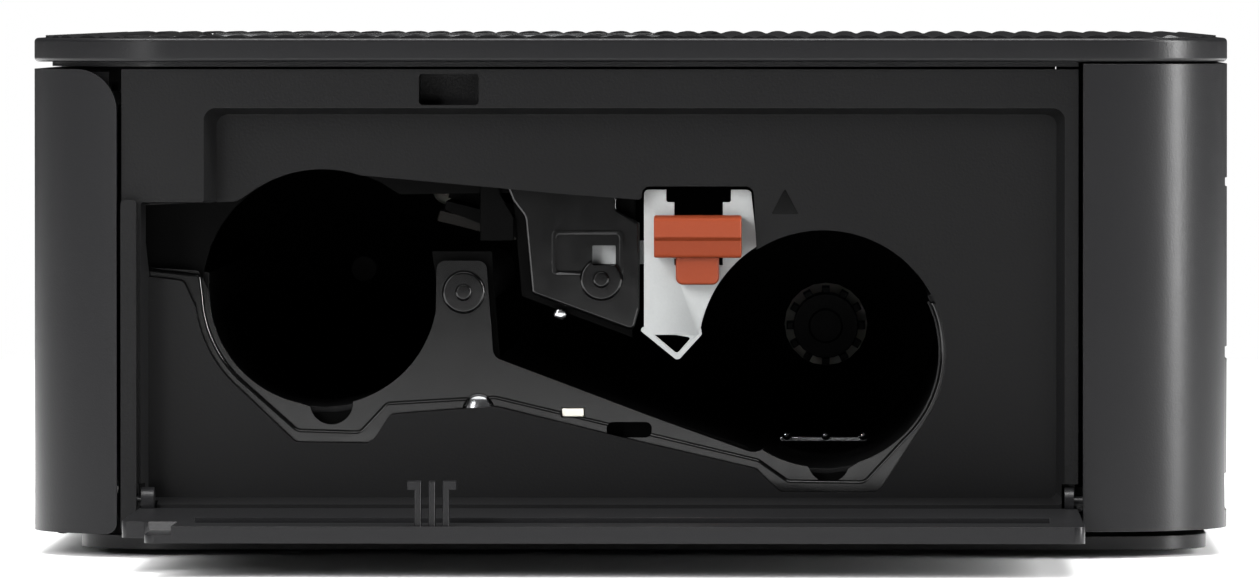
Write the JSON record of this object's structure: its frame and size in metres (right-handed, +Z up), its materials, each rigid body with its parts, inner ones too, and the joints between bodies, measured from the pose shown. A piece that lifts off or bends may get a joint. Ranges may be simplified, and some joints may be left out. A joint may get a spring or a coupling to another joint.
{
  "type": "photo printer",
  "caption": "Low rounded desktop dye-sublimation photo printer with its side cassette bay open, a fold-down side door, a drop-down front cover and an eject lever.",
  "frame": {"origin": "middle of the flat underside of the base pan", "axes": "+Z up, +X out of the cassette side, -Y out of the paper side"},
  "size_m": [0.2276, 0.133, 0.0576],
  "materials": {
    "satin_plastic": "satin moulded black plastic",
    "panel_plastic": "fine-textured black plastic",
    "gloss_plastic": "polished black plastic",
    "rubber": "black rubber",
    "steel": "ground bright steel",
    "sheet_steel": "zinc-plated sheet steel",
    "natural_plastic": "pale grey natural plastic",
    "gear_plastic": "ivory acetal",
    "orange_plastic": "orange-red plastic with a soft sheen",
    "circuit_board": "green solder mask",
    "screen_glass": "dark polished screen window",
    "button_plastic": "dark grey satin plastic",
    "ceramic": "dark glazed ceramic",
    "black_steel": "sheet metal finished black"
  },
  "bodies": {
    "printer": {"base_pan": "satin_plastic", "foot_front_left": "rubber", "foot_front_right": "rubber", "foot_rear_left": "rubber", "foot_rear_right": "rubber", "front_frame": "panel_plastic", "cassette_side_panel": "panel_plastic", "left_side_panel": "satin_plastic", "rear_cover": "satin_plastic", "top_lid": "satin_plastic", "control_panel": "gloss_plastic", "display_window": "screen_glass", "display_module": "panel_plastic", "button_board": "circuit_board", "main_board": "circuit_board", "card_reader": "sheet_steel", "usb_socket": "steel", "dc_inlet": "panel_plastic", "bay_lower_frame": "gloss_plastic", "bay_upper_plate": "gloss_plastic", "right_chassis_plate": "black_steel", "left_chassis_plate": "black_steel", "chassis_bridge": "sheet_steel", "gearbox_plate": "sheet_steel", "front_spool_trough": "panel_plastic", "rear_spool_trough": "panel_plastic", "paper_guide": "panel_plastic", "ejector_housing": "natural_plastic", "eject_spring": "steel", "spool_leaf_spring": "steel", "drive_motor": "sheet_steel", "head_pivot_shaft": "steel", "head_end_bracket": "black_steel", "interlock_switch": "panel_plastic"},
    "cassette_door": {"cassette_door": "satin_plastic"},
    "front_cover": {"front_cover": "satin_plastic", "front_cover_pin_left": "steel", "front_cover_pin_right": "steel"},
    "eject_lever": {"eject_lever": "orange_plastic"},
    "power_button": {"power_button": "button_plastic"},
    "menu_button": {"menu_button": "button_plastic"},
    "back_button": {"back_button": "button_plastic"},
    "edit_button": {"edit_button": "button_plastic"},
    "print_button": {"print_button": "button_plastic"},
    "navigation_ring": {"navigation_ring": "button_plastic"},
    "ok_button": {"ok_button": "button_plastic"},
    "platen": {"platen_shaft": "steel", "platen_roller": "rubber", "platen_gear": "gear_plastic"},
    "feed": {"feed_roller": "steel", "feed_gear": "gear_plastic"},
    "pinch": {"pinch_roller": "rubber"},
    "pinion": {"motor_pinion": "gear_plastic"},
    "idler": {"idler_gear": "gear_plastic"},
    "take_up": {"take_up_gear": "gear_plastic", "take_up_spindle": "panel_plastic"},
    "supply": {"supply_spindle": "panel_plastic"},
    "print_head": {"head_arm": "black_steel", "thermal_head": "ceramic", "heatsink": "black_steel"}
  },
  "joints": [
    {"name": "pinion_spin", "type": "hinge", "parent": "printer", "child": "pinion", "pos_m": [-0.0398, -0.024, 0.0382], "axis": [1, 0, 0], "continuous": true},
    {"name": "cassette_door_hinge", "type": "hinge", "parent": "printer", "child": "cassette_door", "pos_m": [0.0888, -0.0022, 0.0053], "axis": [0, -1, 0], "range_deg": [0, 90]},
    {"name": "front_cover_hinge", "type": "hinge", "parent": "printer", "child": "front_cover", "pos_m": [0, -0.0633, 0.003], "axis": [1, 0, 0], "range_deg": [0, 90]},
    {"name": "eject_slide", "type": "slide", "parent": "printer", "child": "eject_lever", "axis": [0, 0, 1], "range_m": [0, 0.0028], "stiffness_N_per_m": 400, "springref_m": -0.002},
    {"name": "power_press", "type": "slide", "parent": "printer", "child": "power_button", "axis": [0, 0, -1], "range_m": [0, 0.0005], "stiffness_N_per_m": 1500, "springref_m": -0.0003},
    {"name": "menu_press", "type": "slide", "parent": "printer", "child": "menu_button", "axis": [0, 0, -1], "range_m": [0, 0.0005], "stiffness_N_per_m": 1500, "springref_m": -0.0003},
    {"name": "back_press", "type": "slide", "parent": "printer", "child": "back_button", "axis": [0, 0, -1], "range_m": [0, 0.0005], "stiffness_N_per_m": 1500, "springref_m": -0.0003},
    {"name": "edit_press", "type": "slide", "parent": "printer", "child": "edit_button", "axis": [0, 0, -1], "range_m": [0, 0.0005], "stiffness_N_per_m": 1500, "springref_m": -0.0003},
    {"name": "print_press", "type": "slide", "parent": "printer", "child": "print_button", "axis": [0, 0, -1], "range_m": [0, 0.0005], "stiffness_N_per_m": 1500, "springref_m": -0.0003},
    {"name": "ok_press", "type": "slide", "parent": "printer", "child": "ok_button", "axis": [0, 0, -1], "range_m": [0, 0.0005], "stiffness_N_per_m": 1500, "springref_m": -0.0003},
    {"name": "navigation_press", "type": "slide", "parent": "printer", "child": "navigation_ring", "axis": [0, 0, -1], "range_m": [0, 0.0005], "stiffness_N_per_m": 1500, "springref_m": -0.0003},
    {"name": "platen_spin", "type": "hinge", "parent": "printer", "child": "platen", "pos_m": [0.022, -0.0184, 0.0285], "axis": [1, 0, 0], "continuous": true},
    {"name": "feed_spin", "type": "hinge", "parent": "printer", "child": "feed", "pos_m": [0.022, -0.01671, 0.01541], "axis": [1, 0, 0], "continuous": true},
    {"name": "idler_spin", "type": "hinge", "parent": "printer", "child": "idler", "pos_m": [-0.039, -0.00198, 0.01401], "axis": [1, 0, 0], "continuous": true},
    {"name": "take_up_spin", "type": "hinge", "parent": "printer", "child": "take_up", "pos_m": [-0.039, 0.02155, 0.02185], "axis": [1, 0, 0], "continuous": true},
    {"name": "pinch_spin", "type": "hinge", "parent": "printer", "child": "pinch", "pos_m": [0.022, -0.01671, 0.01051], "axis": [1, 0, 0], "continuous": true},
    {"name": "supply_spin", "type": "hinge", "parent": "printer", "child": "supply", "pos_m": [-0.039, -0.034, 0.0286], "axis": [1, 0, 0], "continuous": true},
    {"name": "print_head_pivot", "type": "hinge", "parent": "printer", "child": "print_head", "pos_m": [0.022, -0.0031, 0.02995], "axis": [1, 0, 0], "range_deg": [0, 13.5], "stiffness_Nm_per_rad": 0.15, "springref_deg": -11.46}
  ],
  "couplings": [
    {"joint": "platen_spin", "follows": "pinion_spin", "ratio": -0.75},
    {"joint": "feed_spin", "follows": "pinion_spin", "ratio": 0.70588},
    {"joint": "idler_spin", "follows": "pinion_spin", "ratio": -0.6},
    {"joint": "take_up_spin", "follows": "pinion_spin", "ratio": 0.28571},
    {"joint": "pinch_spin", "follows": "pinion_spin", "ratio": -0.91765}
  ]
}
